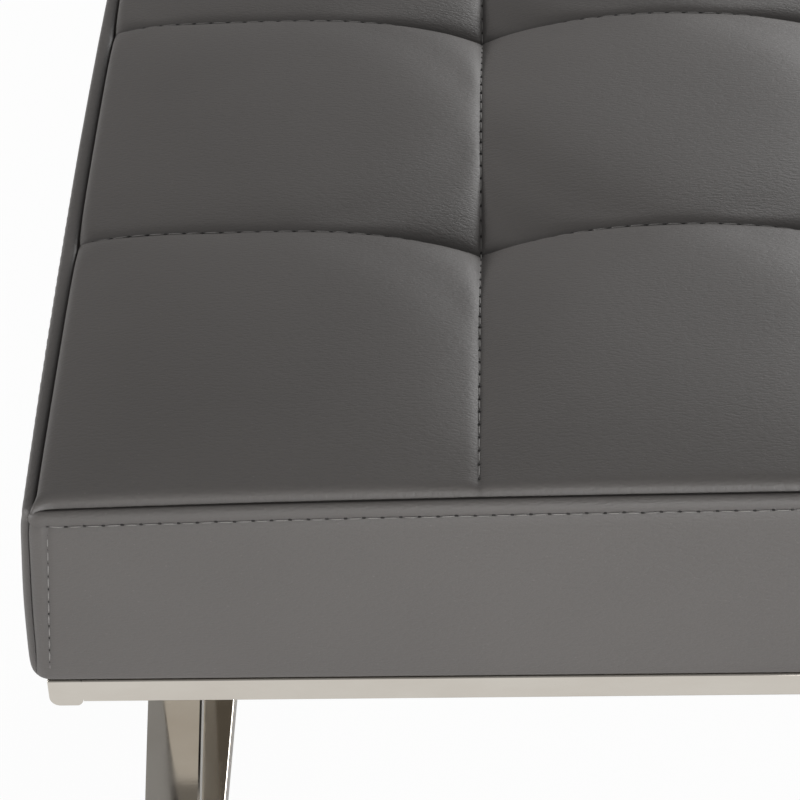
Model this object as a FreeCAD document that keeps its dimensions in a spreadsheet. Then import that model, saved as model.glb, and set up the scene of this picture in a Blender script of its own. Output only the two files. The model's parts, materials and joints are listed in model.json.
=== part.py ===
import FreeCAD, Part
import math
import os

import Sketcher

from FreeCAD import Placement, Rotation, Vector

doc = FreeCAD.newDocument("tufted_bench")

# Driving dimensions: millimetres, whole counts and one angle in degrees
DRIVING = {
    # Seat, outside
    "seat_length": "1060",
    "seat_depth": "530",
    "seam_height": "438",
    "seat_rise": "95",
    # Sewn tufts of the top panel
    "tile_columns": "6",
    "tile_rows": "3",
    "seam_inset": "8",
    "crown_rise": "12",
    "tuft_dip": "10",
    "seam_swell": "8",
    "edge_swell": "0.8",
    # Cover and padding
    "cover_thick": "1.5",
    "soft_gap": "0.3",
    "pad_least": "4",
    "backing_thick": "0.8",
    "shoulder_drop": "7",
    "shoulder_draw": "2.5",
    "belly_rise": "42",
    "lower_draw": "0.5",
    "lower_round": "6",
    "hem_reach": "45",
    # Seat base
    "board_thick": "15",
    "board_inset": "9",
    "dust_thick": "0.8",
    "dust_inset": "10",
    "staple_reach": "38",
    "staple_crown": "10",
    "staple_wire": "0.9",
    "staple_leg": "9",
    "staple_spacing": "100",
    # Metal frame
    "bar_width": "27",
    "bar_thick": "12",
    "side_bar": "14.4",
    "edge_round": "1",
    "side_round": "4.5",
    "rail_setback": "3",
    "end_setback": "2",
    "frame_inset": "8",
    "top_bar_setback": "22",
    "runner_setback": "12",
    "cross_margin": "12",
    "cross_bow": "7.5",
    "joint_gap": "0.1",
    # Fasteners and feet
    "bolt_diameter": "6",
    "bolt_clearance": "0.4",
    "bolt_spread": "400",
    "bolt_tip_gap": "0.5",
    "head_across": "10",
    "head_height": "4",
    "washer_diameter": "14",
    "washer_thick": "1.2",
    "flange_diameter": "18",
    "flange_thick": "1.5",
    "barrel_diameter": "8",
    "barrel_length": "10",
    "insert_gap": "0.1",
    "glide_length": "44",
    "glide_inset": "10",
    "glide_thick": "4",
    "screw_diameter": "4",
    "screw_depth": "7",
    "screw_head_diameter": "8",
    "screw_head_height": "2",
    "screw_recess": "3",
}

# Places and sizes that follow from the driving dimensions
FOLLOWING = {
    "seat_base": "sizes.seam_height - sizes.seat_rise",
    "rail_low": "seat_base - sizes.bar_thick",
    "side_low": "seat_base - sizes.side_bar",
    "top_bar_low": "side_low - sizes.bar_thick",
    "runner_low": "sizes.glide_thick",
    "runner_top": "runner_low + sizes.bar_thick",
    "rail_outer": "sizes.seat_depth / 2 - sizes.rail_setback",
    "rail_inner": "rail_outer - sizes.bar_width",
    "rail_middle": "rail_outer - sizes.bar_width / 2",
    "side_outer": "sizes.seat_length / 2 - sizes.end_setback",
    "side_inner": "side_outer - sizes.side_bar",
    "side_middle": "side_outer - sizes.side_bar / 2",
    "frame_outer": "side_outer - sizes.frame_inset",
    "frame_inner": "frame_outer - sizes.bar_width",
    "frame_middle": "frame_outer - sizes.bar_width / 2",
    "top_bar_half": "rail_outer - sizes.top_bar_setback",
    "runner_half": "rail_outer - sizes.runner_setback",
    "cross_low": "runner_top",
    "cross_high": "top_bar_low",
    "cross_run": "top_bar_half - sizes.cross_margin",
    "hem_low": "seat_base + sizes.dust_thick",
    "board_low": "hem_low + sizes.cover_thick",
    "board_top": "board_low + sizes.board_thick",
    "pad_low": "sizes.seam_height - sizes.tuft_dip - sizes.cover_thick - sizes.soft_gap - sizes.pad_least",
    "foam_top": "pad_low - sizes.backing_thick",
    "seam_half_x": "sizes.seat_length / 2 - sizes.seam_inset",
    "seam_half_y": "sizes.seat_depth / 2 - sizes.seam_inset",
    "bolt_hole": "sizes.bolt_diameter / 2 + sizes.bolt_clearance",
    "washer_low": "rail_low - sizes.washer_thick",
    "glide_middle": "runner_half - sizes.glide_inset - sizes.glide_length / 2",
}


def fill_sheet(name, cells, prefix):
    """A spreadsheet with one alias a row; the prefix turns a cell's text into a formula."""
    sheet = doc.addObject("Spreadsheet::Sheet", name)
    for row, (alias, text) in enumerate(cells.items(), start=1):
        sheet.set(f"A{row}", alias)
        sheet.set(f"B{row}", prefix + text)
        sheet.setAlias(f"B{row}", alias)
    doc.recompute()
    return sheet


sizes = fill_sheet("sizes", DRIVING, "")
places = fill_sheet("places", FOLLOWING, "=")


def value(alias):
    """The present number in a cell of either sheet."""
    return float(getattr(sizes if alias in DRIVING else places, alias))


nodes = []


def keep(piece, label):
    """Name a finished sub-part, which is later written to its own file."""
    piece.Label = label
    nodes.append(piece)
    return piece


def bind(thing, **expressions):
    """Bind properties to the sheets; x, y and z stand for the placement."""
    for name, expression in expressions.items():
        target = f"Placement.Base.{name}" if name in "xyz" else name
        thing.setExpression(target, expression)
    return thing


# Small shapes made from primitives
def box(length, width, height, x, y, z):
    """A box whose base is centred on x, y and stands at z."""
    solid = doc.addObject("Part::Box", "box")
    return bind(
        solid,
        Length=length,
        Width=width,
        Height=height,
        x=f"({x}) - ({length}) / 2",
        y=f"({y}) - ({width}) / 2",
        z=z,
    )


def cylinder(radius, height, x, y, z):
    """An upright cylinder that stands at z."""
    solid = doc.addObject("Part::Cylinder", "cylinder")
    return bind(solid, Radius=radius, Height=height, x=x, y=y, z=z)


def hexagon(across, height, x, y, z):
    """An upright hexagonal prism, sized across its flats."""
    solid = doc.addObject("Part::Prism", "hexagon")
    solid.Polygon = 6
    return bind(solid, Circumradius=f"({across}) / sqrt(3)", Height=height, x=x, y=y, z=z)


def fuse(*pieces):
    joined = doc.addObject("Part::MultiFuse", "joined")
    joined.Shapes = list(pieces)
    return joined


def cut(base, *tools):
    """The base less its tools."""
    result = doc.addObject("Part::Cut", "cut")
    result.Base = base
    result.Tool = tools[0] if len(tools) == 1 else fuse(*tools)
    return result


def group(pieces):
    gathered = doc.addObject("Part::Compound", "gathered")
    gathered.Links = list(pieces)
    return gathered


def feature(shape, where=Placement()):
    """A sub-part whose curved shape is worked out below from the sheets."""
    solid = doc.addObject("Part::Feature", "shaped")
    solid.Shape = shape
    solid.Placement = where
    return solid


# Flat bars, padded from a sketch, with eased edges and drilled holes
def origin_plane(body, role):
    return next(item for item in body.Origin.OriginFeatures if item.Role == role)


def rectangle_sketch(body, length, width):
    """A centred rectangle on the body's XY plane."""
    sketch = body.newObject("Sketcher::SketchObject", "outline")
    sketch.AttachmentSupport = [(origin_plane(body, "XY_Plane"), "")]
    sketch.MapMode = "FlatFace"
    corners = [Vector(-1, -1, 0), Vector(1, -1, 0), Vector(1, 1, 0), Vector(-1, 1, 0)]
    for start, end in zip(corners, corners[1:] + corners[:1]):
        sketch.addGeometry(Part.LineSegment(start, end))
    for side in range(4):
        sketch.addConstraint(Sketcher.Constraint("Coincident", side, 2, (side + 1) % 4, 1))
    for side, way in enumerate(("Horizontal", "Vertical", "Horizontal", "Vertical")):
        sketch.addConstraint(Sketcher.Constraint(way, side))
    sketch.addConstraint(Sketcher.Constraint("Symmetric", 0, 1, 1, 2, -1, 1))
    across = sketch.addConstraint(Sketcher.Constraint("DistanceX", 0, 1, 0, 2, 2))
    up = sketch.addConstraint(Sketcher.Constraint("DistanceY", 1, 1, 1, 2, 2))
    sketch.setExpression(f"Constraints[{across}]", length)
    sketch.setExpression(f"Constraints[{up}]", width)
    return sketch


def flat_bar(label, length, width, thick, x, y, z, sharp_ends=False):
    """A bar lying flat: padded rectangle with eased edges, or only its long ones where its ends are welded."""
    body = doc.addObject("PartDesign::Body", label + "_body")
    pad = body.newObject("PartDesign::Pad", "pad")
    pad.Profile = rectangle_sketch(body, length, width)
    pad.setExpression("Length", thick)
    doc.recompute()
    longest = max(edge.Length for edge in pad.Shape.Edges)
    eased = [
        f"Edge{number}"
        for number, edge in enumerate(pad.Shape.Edges, start=1)
        if edge.Length > longest / 2 or not sharp_ends
    ]
    fillet = body.newObject("PartDesign::Fillet", "eased")
    fillet.Base = (pad, eased)
    fillet.setExpression("Radius", "sizes.edge_round")
    bind(body, x=x, y=y, z=z)
    doc.recompute()
    return body


def side_bar(x):
    """A square bar along Y: well rounded lower edges, and sharp upright edges where the long rails are welded."""
    bar = box("sizes.side_bar", "2 * places.rail_outer", "sizes.side_bar", x, "0", "places.side_low")
    doc.recompute()
    edges = []
    for number, edge in enumerate(bar.Shape.Edges, start=1):
        spread = edge.BoundBox
        lower_long = spread.YLength > value("side_bar") and spread.Center.z < value("rail_low")
        radius = value("side_round") if lower_long else value("edge_round")
        welded = spread.ZLength > value("bar_thick") and abs(spread.Center.x) < value("side_middle")
        if not welded:
            edges.append((number, radius, radius))
    eased = doc.addObject("Part::Fillet", "eased")
    eased.Base = bar
    eased.Edges = edges
    return eased


# Places of the ends, the glides and the seat bolts, as sheet expressions
SIDES = {"left": "-", "right": "+"}
GLIDE_ROWS = ("-places.glide_middle", "places.glide_middle")
BOLT_COLUMNS = ("-sizes.bolt_spread", "0", "sizes.bolt_spread")
BOLT_ROWS = {"front": "-places.rail_middle", "rear": "places.rail_middle"}


def bolt_places():
    return [(x, y) for y in BOLT_ROWS.values() for x in BOLT_COLUMNS]


def bolt_hole(x, y):
    """A tool that clears one seat bolt from under the rail to above the seat board."""
    height = "places.board_top - places.rail_low + 2 * sizes.washer_thick"
    return cylinder("places.bolt_hole", height, x, y, "places.rail_low - sizes.washer_thick")


# Metal frame
def make_rails():
    """Front, rear, centre and side rails, which carry the seat."""
    for name, y in BOLT_ROWS.items():
        bar = flat_bar(
            name, "2 * places.side_inner", "sizes.bar_width", "sizes.bar_thick",
            "0", y, "places.rail_low", sharp_ends=True,
        )
        drilled = cut(bar, *[bolt_hole(x, y) for x in BOLT_COLUMNS])
        keep(drilled, name + "_rail")
    centre = flat_bar(
        "centre", "sizes.bar_width", "2 * places.rail_inner", "sizes.bar_thick", "0", "0", "places.rail_low"
    )
    keep(centre, "centre_rail")
    for name, sign in SIDES.items():
        keep(side_bar(f"{sign}places.side_middle"), name + "_side_rail")


def make_end_bars():
    """The top bar and the floor runner of each end frame; the runner is drilled for its glide screws."""
    for name, sign in SIDES.items():
        x = f"{sign}places.frame_middle"
        top = flat_bar(
            name + "_top", "sizes.bar_width", "2 * places.top_bar_half", "sizes.bar_thick",
            x, "0", "places.top_bar_low",
        )
        keep(top, name + "_top_bar")
        runner = flat_bar(
            name + "_runner", "sizes.bar_width", "2 * places.runner_half", "sizes.bar_thick",
            x, "0", "places.runner_low",
        )
        holes = [
            cylinder("sizes.screw_diameter / 2", "sizes.screw_depth", x, y, "places.runner_low")
            for y in GLIDE_ROWS
        ]
        keep(cut(runner, *holes), name + "_floor_runner")


def arc(start, middle, end):
    return Part.Arc(start, middle, end).toShape()


def line(start, end):
    return Part.LineSegment(start, end).toShape()


def cross_bar_face(thick):
    """Outline in the YZ plane of a bar that rises to the rear in two arcs, flattest at its middle."""
    low, high, run = value("cross_low"), value("cross_high"), value("cross_run")
    middle = (low + high) / 2
    chord = math.atan2(high - low, 2 * run)
    bow = math.radians(value("cross_bow"))
    flat, steep = chord - bow, chord + bow
    radius = (high - low) / 2 / (math.cos(flat) - math.cos(steep))
    lower_centre = (radius * math.sin(flat), middle - radius * math.cos(flat))
    upper_centre = (-lower_centre[0], 2 * middle - lower_centre[1])

    def lower(offset, slope):
        reach = radius - offset
        return Vector(0, lower_centre[0] - reach * math.sin(slope), lower_centre[1] + reach * math.cos(slope))

    def upper(offset, slope):
        reach = radius + offset
        return Vector(0, upper_centre[0] + reach * math.sin(slope), upper_centre[1] - reach * math.cos(slope))

    edges = []
    ends = []
    for offset in (thick / 2, -thick / 2):
        foot = math.acos((low - lower_centre[1]) / (radius - offset))
        head = math.acos((upper_centre[1] - high) / (radius + offset))
        edges.append(arc(lower(offset, foot), lower(offset, (foot + flat) / 2), lower(offset, flat)))
        edges.append(arc(upper(offset, flat), upper(offset, (head + flat) / 2), upper(offset, head)))
        ends.append((lower(offset, foot), upper(offset, head)))
    edges.append(line(ends[0][0], ends[1][0]))
    edges.append(line(ends[0][1], ends[1][1]))
    return Part.Face(Part.Wire(Part.__sortEdges__(edges)))


def cross_bar_blank(thick, width, eased):
    """A full cross bar about X = 0, rising to the rear, with its long edges chamfered if asked."""
    face = cross_bar_face(thick)
    face.translate(Vector(-width / 2, 0, 0))
    solid = face.extrude(Vector(width, 0, 0))
    if not eased:
        return solid
    long_edges = [edge for edge in solid.Edges if isinstance(edge.Curve, Part.Circle)]
    return solid.makeChamfer(value("edge_round"), long_edges)


def make_cross_bars():
    """Two bars a side, halved into each other where they cross."""
    thick, width, gap = value("bar_thick"), value("bar_width"), value("joint_gap")
    reach = 2 * value("cross_high")
    half = Part.makeBox(width, 2 * reach, 2 * reach, Vector(0, -reach, -reach))
    rising = cross_bar_blank(thick, width, True)
    notch = cross_bar_blank(thick + 2 * gap, width, False)
    turned = Rotation(Vector(0, 0, 1), 180)
    falling_notch = notch.copy()
    falling_notch.Placement = Placement(Vector(), turned)
    halved = rising.cut(falling_notch.common(half))
    for name, sign in (("left", -1), ("right", 1)):
        for kind, spin in (("rising", Rotation()), ("falling", turned)):
            where = Placement(Vector(sign * value("frame_middle"), 0, 0), spin)
            keep(feature(halved, where), f"{name}_{kind}_bar")


# Feet
def make_glides():
    """Floor glides under the runners, each held by a sunk screw."""
    glides = []
    screws = []
    for sign in SIDES.values():
        for y in GLIDE_ROWS:
            x = f"{sign}places.frame_middle"
            width = "sizes.bar_width - 2 * sizes.edge_round"
            pad = box(width, "sizes.glide_length", "sizes.glide_thick", x, y, "0")
            head_hole = cylinder(
                "sizes.screw_head_diameter / 2 + sizes.insert_gap", "sizes.screw_recess", x, y, "0"
            )
            shank_hole = cylinder("sizes.screw_diameter / 2 + sizes.insert_gap", "sizes.glide_thick", x, y, "0")
            glides.append(cut(pad, head_hole, shank_hole))
            head_low = "sizes.screw_recess - sizes.screw_head_height"
            head = cylinder("sizes.screw_head_diameter / 2", "sizes.screw_head_height", x, y, head_low)
            shank_height = "sizes.glide_thick + sizes.screw_depth - sizes.screw_recess"
            shank = cylinder("sizes.screw_diameter / 2", shank_height, x, y, "sizes.screw_recess")
            screws.append(fuse(head, shank))
    keep(group(glides), "floor_glides")
    keep(group(screws), "glide_screws")


# Seat fasteners
def make_seat_fasteners():
    """Bolts with washers from under the rails into flanged nuts let into the seat board."""
    bolts = []
    washers = []
    nuts = []
    for x, y in bolt_places():
        shank_height = "places.board_top - sizes.bolt_tip_gap - places.washer_low"
        shank = cylinder("sizes.bolt_diameter / 2", shank_height, x, y, "places.washer_low")
        head_low = "places.washer_low - sizes.head_height"
        bolts.append(fuse(shank, hexagon("sizes.head_across", "sizes.head_height", x, y, head_low)))
        ring = cylinder("sizes.washer_diameter / 2", "sizes.washer_thick", x, y, "places.washer_low")
        washers.append(cut(ring, cylinder("places.bolt_hole", "sizes.washer_thick", x, y, "places.washer_low")))
        flange_low = "places.board_top - sizes.flange_thick"
        barrel_low = f"{flange_low} - sizes.barrel_length"
        nut = fuse(
            cylinder("sizes.flange_diameter / 2", "sizes.flange_thick", x, y, flange_low),
            cylinder("sizes.barrel_diameter / 2", "sizes.barrel_length", x, y, barrel_low),
        )
        thread_height = "sizes.flange_thick + sizes.barrel_length"
        thread = cylinder("sizes.bolt_diameter / 2 + sizes.insert_gap", thread_height, x, y, barrel_low)
        nuts.append(cut(nut, thread))
    keep(group(bolts), "seat_bolts")
    keep(group(washers), "bolt_washers")
    keep(group(nuts), "flange_nuts")


def nut_pockets():
    """Tools for the seat board: a sunk seat for each flange and a hole for each barrel."""
    tools = []
    for x, y in bolt_places():
        flange_low = "places.board_top - sizes.flange_thick"
        barrel_low = f"{flange_low} - sizes.barrel_length"
        barrel_height = "sizes.barrel_length + sizes.flange_thick"
        tools.append(
            cylinder("sizes.flange_diameter / 2 + sizes.insert_gap", "sizes.flange_thick", x, y, flange_low)
        )
        tools.append(
            cylinder("sizes.barrel_diameter / 2 + sizes.insert_gap", barrel_height, x, y, barrel_low)
        )
        tools.append(bolt_hole(x, y))
    return tools


# Staples that hold the cover's hem and the dust cover to the seat board
def staple_places():
    """Middle of each staple and the turn of its crown, an even count a side to clear the centre rail."""
    found = []
    reach_x = value("seat_length") / 2 - value("staple_reach")
    reach_y = value("seat_depth") / 2 - value("staple_reach")
    for along, across, turn in ((reach_x, reach_y, 0), (reach_y, reach_x, 90)):
        span = along - value("hem_reach")
        count = 2 * max(1, round(span / value("staple_spacing")))
        for step in range(count):
            offset = span * (2 * step / (count - 1) - 1)
            for sign in (-1, 1):
                spot = Vector(offset, sign * across, 0) if turn == 0 else Vector(sign * across, offset, 0)
                found.append((spot, turn))
    return found


def staple_shapes():
    """Every staple as a solid, and every pair of legs as a tool for the sheets they go through."""
    crown, wire, leg = value("staple_crown"), value("staple_wire"), value("staple_leg")
    base = value("seat_base")
    staples = []
    slots = []
    for spot, turn in staple_places():
        bar = Part.makeBox(crown, wire, wire, Vector(-crown / 2, -wire / 2, base - wire))
        legs = [
            Part.makeBox(wire, wire, leg, Vector(x, -wire / 2, base))
            for x in (-crown / 2, crown / 2 - wire)
        ]
        where = Placement(spot, Rotation(Vector(0, 0, 1), turn))
        whole = bar.fuse(legs).removeSplitter()
        whole.Placement = where
        staples.append(whole)
        for single in legs:
            single.Placement = where
            slots.append(single)
    return staples, Part.makeCompound(slots)


# Cover: four boxing panels that run from the top seam down and under the seat board
def boxing_outline(reach):
    """Closed outline in the YZ plane, outer face towards -Y, drawn in at the top and rounded below."""
    thick = value("cover_thick")
    top, shoulder = value("seam_height"), value("seam_height") - value("shoulder_drop")
    belly = value("seat_base") + value("belly_rise")
    hem = value("hem_low")
    turn = hem + value("lower_round")
    diagonal = math.sqrt(0.5)

    def point(inward, height):
        return Vector(0, inward - reach, height)

    def rounded(first, last, corner):
        """A quarter round from first to last about the corner."""
        middle = corner + (first - corner + last - corner) * diagonal
        return arc(first, middle, last)

    def skin(inset):
        """One face of the panel, from the seam to the end of the hem."""
        seam = point(value("seam_inset"), top - inset)
        side_top = point(value("shoulder_draw") + inset, shoulder)
        side_middle = point(inset, belly)
        side_low = point(value("lower_draw") + inset, turn)
        under = point(value("lower_draw") + value("lower_round"), hem + inset)
        end = point(value("hem_reach"), hem + inset)
        edges = [
            rounded(seam, side_top, Vector(0, seam.y, side_top.z)),
            arc(side_top, side_middle, side_low),
            rounded(side_low, under, Vector(0, under.y, side_low.z)),
            line(under, end),
        ]
        return edges, seam, end

    outer, outer_seam, outer_end = skin(0)
    inner, inner_seam, inner_end = skin(thick)
    edges = outer + inner + [line(outer_end, inner_end), line(outer_seam, inner_seam)]
    return Part.Face(Part.Wire(Part.__sortEdges__(edges)))


def boxing_panel(length, reach):
    """A panel along X whose ends are mitred to meet its neighbours at the corner seams."""
    face = boxing_outline(reach)
    face.translate(Vector(-length / 2, 0, 0))
    panel = face.extrude(Vector(length, 0, 0))
    deep = 2 * value("hem_reach")
    low, tall = value("seat_base") - deep, value("seat_rise") + 2 * deep
    for sign in (-1, 1):
        end = sign * length / 2
        corners = [
            Vector(end, -reach, low),
            Vector(end, deep - reach, low),
            Vector(end - sign * deep, deep - reach, low),
        ]
        wedge = Part.Face(Part.makePolygon(corners + corners[:1])).extrude(Vector(0, 0, tall))
        panel = panel.cut(wedge)
    return panel


def make_boxing(slots):
    """Front, rear, left and right panels, pierced by the staples and the seat bolts."""
    long_panel = boxing_panel(value("seat_length"), value("seat_depth") / 2)
    short_panel = boxing_panel(value("seat_depth"), value("seat_length") / 2)
    radius, low = value("bolt_hole"), value("rail_low")
    tall = value("board_top") - low
    bolts = [
        Part.makeCylinder(radius, tall, Vector(x, y, low))
        for x in (-value("bolt_spread"), 0, value("bolt_spread"))
        for y in (-value("rail_middle"), value("rail_middle"))
    ]
    for name, panel, turn in (
        ("front", long_panel, 0),
        ("rear", long_panel, 180),
        ("left", short_panel, -90),
        ("right", short_panel, 90),
    ):
        placed = panel.copy()
        placed.rotate(Vector(), Vector(0, 0, 1), turn)
        keep(feature(placed.cut(bolts + [slots])), name + "_boxing")


# Tufted top: square pillows between sewn seams that are pulled down where they cross
ROW_SHARES = (0, 0.1, 0.25, 0.5, 0.75, 0.9, 1)
FULLNESS_POWER = 3


def mix(first, last, share):
    return first + (last - first) * share


def node_height(row):
    """Height where a column seam meets this row seam: the outer seams aren't pulled down."""
    outer = row in (0, int(value("tile_rows")))
    return value("seam_height") - (0 if outer else value("tuft_dip"))


def swell(row):
    """How far a row seam rises between its crossings."""
    outer = row in (0, int(value("tile_rows")))
    return value("edge_swell") if outer else value("seam_swell")


def tuft_points(row, share):
    """Points across the seat at a share of the way through a row: seams and crowns in turn."""
    columns = int(value("tile_columns"))
    half = value("seam_half_x")
    depth = 2 * value("seam_half_y") / value("tile_rows")
    y = -value("seam_half_y") + (row + share) * depth
    full = 1 - abs(2 * share - 1) ** FULLNESS_POWER
    lifted = [node_height(each) + swell(each) for each in (row, row + 1)]
    crown = mix(*lifted, share) + (value("seam_height") + value("crown_rise") - sum(lifted) / 2) * full
    inner_seam = mix(node_height(row), node_height(row + 1), share) + value("seam_swell") * full
    outer_seam = value("seam_height") + value("edge_swell") * full
    points = []
    for step in range(2 * columns + 1):
        x = half * (step / columns - 1)
        if step in (0, 2 * columns):
            height = outer_seam
        else:
            height = crown if step % 2 else inner_seam
        points.append(Vector(x, y, height))
    return points


def tuft_arcs(points, drop):
    """An arc over each pillow, lowered by the drop."""
    lowered = [point - Vector(0, 0, drop) for point in points]
    return [arc(*lowered[first:first + 3]) for first in range(0, len(points) - 2, 2)], lowered


def tuft_section(row, share, upper_drop, lower):
    """Closed section of the tufted top; lower is a second drop, or None for the flat base of the pad."""
    points = tuft_points(row, share)
    upper_arcs, upper_points = tuft_arcs(points, upper_drop)
    if lower is None:
        ends = [Vector(point.x, point.y, value("pad_low")) for point in (points[0], points[-1])]
        lower_edges = [line(ends[1], ends[0])]
    else:
        lower_edges, lower_points = tuft_arcs(points[::-1], lower)
        ends = [lower_points[-1], lower_points[0]]
    sides = [line(upper_points[-1], ends[1])], [line(ends[0], upper_points[0])]
    return Part.Wire(upper_arcs + sides[0] + lower_edges + sides[1])


def tufted_solid(upper_drop, lower):
    """One loft for each row of pillows, joined at the row seams."""
    rows = [
        Part.makeLoft([tuft_section(row, share, upper_drop, lower) for share in ROW_SHARES], True, False)
        for row in range(int(value("tile_rows")))
    ]
    return rows[0].fuse(rows[1:]).removeSplitter() if len(rows) > 1 else rows[0]


def make_tufted_top():
    """The sewn cover and, under it, the padding that fills its pillows."""
    cover = value("cover_thick")
    keep(feature(tufted_solid(0, cover)), "top_cover")
    keep(feature(tufted_solid(cover + value("soft_gap"), None)), "tufted_pad")


def make_seat_core():
    """Backing cloth, foam, seat board, dust cover and the staples through them."""
    staples, slots = staple_shapes()
    length, depth = "2 * places.seam_half_x", "2 * places.seam_half_y"
    keep(box(length, depth, "sizes.backing_thick", "0", "0", "places.foam_top"), "quilt_backing")
    keep(box(length, depth, "places.foam_top - places.board_top", "0", "0", "places.board_top"), "foam_core")
    board = box(
        "sizes.seat_length - 2 * sizes.board_inset", "sizes.seat_depth - 2 * sizes.board_inset",
        "sizes.board_thick", "0", "0", "places.board_low",
    )
    keep(cut(board, feature(slots), *nut_pockets()), "seat_board")
    dust = box(
        "sizes.seat_length - 2 * sizes.dust_inset", "sizes.seat_depth - 2 * sizes.dust_inset",
        "sizes.dust_thick", "0", "0", "places.seat_base",
    )
    keep(cut(dust, feature(slots), *[bolt_hole(x, y) for x, y in bolt_places()]), "dust_cover")
    keep(feature(Part.makeCompound(staples)), "hem_staples")
    make_boxing(slots)


def check_and_write():
    """Recompute, stop on any object in error, and write each sub-part to its own file."""
    doc.recompute()
    for item in doc.Objects:
        if "Invalid" in item.State or "Error" in item.State:
            raise RuntimeError(f"{item.Name} is {item.State}")
    os.makedirs("parts", exist_ok=True)
    for piece in nodes:
        shape = piece.Shape
        if shape.isNull() or not shape.isValid():
            raise RuntimeError(f"{piece.Label} has no valid shape")
        shape.exportStep(f"parts/{piece.Label}.step")
        print(piece.Label, len(shape.Solids), round(shape.Volume))


make_rails()
make_end_bars()
make_cross_bars()
make_glides()
make_seat_fasteners()
make_tufted_top()
make_seat_core()
check_and_write()
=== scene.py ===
import json
import math

import bmesh
import bpy
from mathutils import Matrix, Vector, noise


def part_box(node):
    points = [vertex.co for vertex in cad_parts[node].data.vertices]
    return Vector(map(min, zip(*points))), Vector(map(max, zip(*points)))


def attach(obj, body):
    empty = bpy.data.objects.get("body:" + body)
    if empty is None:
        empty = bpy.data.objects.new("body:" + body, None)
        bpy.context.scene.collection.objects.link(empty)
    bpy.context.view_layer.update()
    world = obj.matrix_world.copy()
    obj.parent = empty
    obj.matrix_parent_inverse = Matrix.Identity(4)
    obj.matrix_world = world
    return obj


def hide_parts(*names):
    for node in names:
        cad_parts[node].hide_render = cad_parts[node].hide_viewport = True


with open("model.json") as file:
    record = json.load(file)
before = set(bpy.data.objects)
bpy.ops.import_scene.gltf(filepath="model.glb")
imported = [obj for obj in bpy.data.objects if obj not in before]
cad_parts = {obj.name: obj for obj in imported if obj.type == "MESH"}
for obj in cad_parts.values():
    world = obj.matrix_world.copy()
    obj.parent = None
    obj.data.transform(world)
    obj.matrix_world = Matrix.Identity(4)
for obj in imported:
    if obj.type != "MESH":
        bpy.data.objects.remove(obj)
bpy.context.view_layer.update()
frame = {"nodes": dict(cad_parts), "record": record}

# Sizes are in millimetres, and this turns them into metres
MM = 0.001

# Seat outline, the same as the part's own but for its tighter corners
HALF_LENGTH = 530
HALF_DEPTH = 265
SEAM_INSET = 8
SEAT_BASE = 343
CORNER_RADIUS = 10

# Sewn tufts of the top panel
COLUMNS = 6
ROWS = 3
CROWN_HEIGHT = 450
SEAM_LEVEL = 445
PAD_BASE = 421.6
FOAM_FIRMNESS = 2
CROSSING_DIP = 16
CROSSING_POWER = 2.25
TUFT_POINTEDNESS = 0.72
ROW_END_DIP = 4
COLUMN_END_DIP = 0.8
SEAM_END_POWER = 6
ROW_GROOVE = 1
COLUMN_GROOVE = 0.55
GROOVE_WIDTH = 2.2

# Outer edge of the top panel
EDGE_INSET = 6.2
EDGE_SPREAD = 40
EDGE_FALL = 1.6
EDGE_FALL_REACH = 18
LIP_RADIUS = 4.2
PANEL_CORNER = 6.5
SEAM_TURN_IN = 0.2
PAD_TAPER = 2

# Small unevenness of the top panel
PUCKER_HEIGHT = 0.35
PUCKER_REACH = 14
PUCKER_SIZE = 9
PUCKER_SEED = 0
LUMP_HEIGHT = 0.5
LUMP_SIZE = 70
LUMP_SEED = 40

# Mesh of the top panel, and the cloth simulation of its pillows
TILE_SEGMENTS = 24
SEAM_CROWDING = 0.92
ROUNDING_ROOM = 1e-6
SEWN_WITHIN = 0.01
PRESSURE = 4
PUFF_FRAMES = 20
PUFF_QUALITY = 3

# Boxing: how far in from the widest outline, and at what height, from the top seam to the hem
STITCH_DRAW = 1.9
STITCH_HEIGHT = 433
BOXING_PROFILE = (
    (6.7, 435.4), (6.4, 437.4), (5.9, 438.6), (5.0, 439.1), (4.0, 438.8), (3.1, 437.9), (2.5, 436.6),
    (2.1, 434.8), (2.2, 433.0), (1.9, 432.0), (1.4, 430.4), (1.1, 426.0), (0.8, 415.0), (0.3, 400.0),
    (0.0, 385.0), (0.1, 370.0), (0.2, 358.0), (0.3, 350.5), (0.7, 346.6), (2.0, 344.6), (5.0, 343.9),
    (20.0, 343.9), (45.0, 343.9),
)
BOXING_THICK = 1.2
BOXING_STEP = 8
CORNER_STEPS = 16
CORNER_CROWDING = 1.3
LEAST_RADIUS = 0.4

# Border strip and corner seams of the boxing
STRIP_FOLD = 5
STRIP_TURN = 3
STRIP_SINK_SHARE = 0.2
CORNER_TUCK = 1.1
CORNER_SINK = 1.3
CORNER_SINK_WIDTH = 1.5
CORNER_STITCH_LOW = 7.2
CORNER_STITCH_HIGH = 10.6
CORNER_STITCH_PULL = 0.45
CORNER_STITCH_WIDTH = 1.1

# Small unevenness of the boxing, which fades out towards the hem
WAVE_DEPTH = 0.5
WAVE_SIZE = 120
HEM_CLEAR = 2
HEM_FADE = 12
STITCH_PUCKER = 0.4
STITCH_PUCKER_SIZE = 8
STITCH_PUCKER_STRETCH = 3
STITCH_PUCKER_SEED = 7
STITCH_PUCKER_REACH = 6

# Painted shade in the seams, at the lip, in the corner seams and along the topstitch, as shares of the
# darkest shade, and how wide it lies
ROW_PAINTED_SHADE = 0.5
COLUMN_PAINTED_SHADE = 0.2
SEAM_PAINTED_SHADE_WIDTH = 1.2
LIP_PAINTED_SHADE = 0.35
LIP_PAINTED_SHADE_WIDTH = 0.35
BOXING_PAINTED_SHADE = 0.7
CORNER_PAINTED_SHADE = 0.8
STITCH_PAINTED_SHADE = 0.3
STRIP_PAINTED_SHADE_START = 5.2
STRIP_PAINTED_SHADE_WIDTH = 0.6

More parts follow.
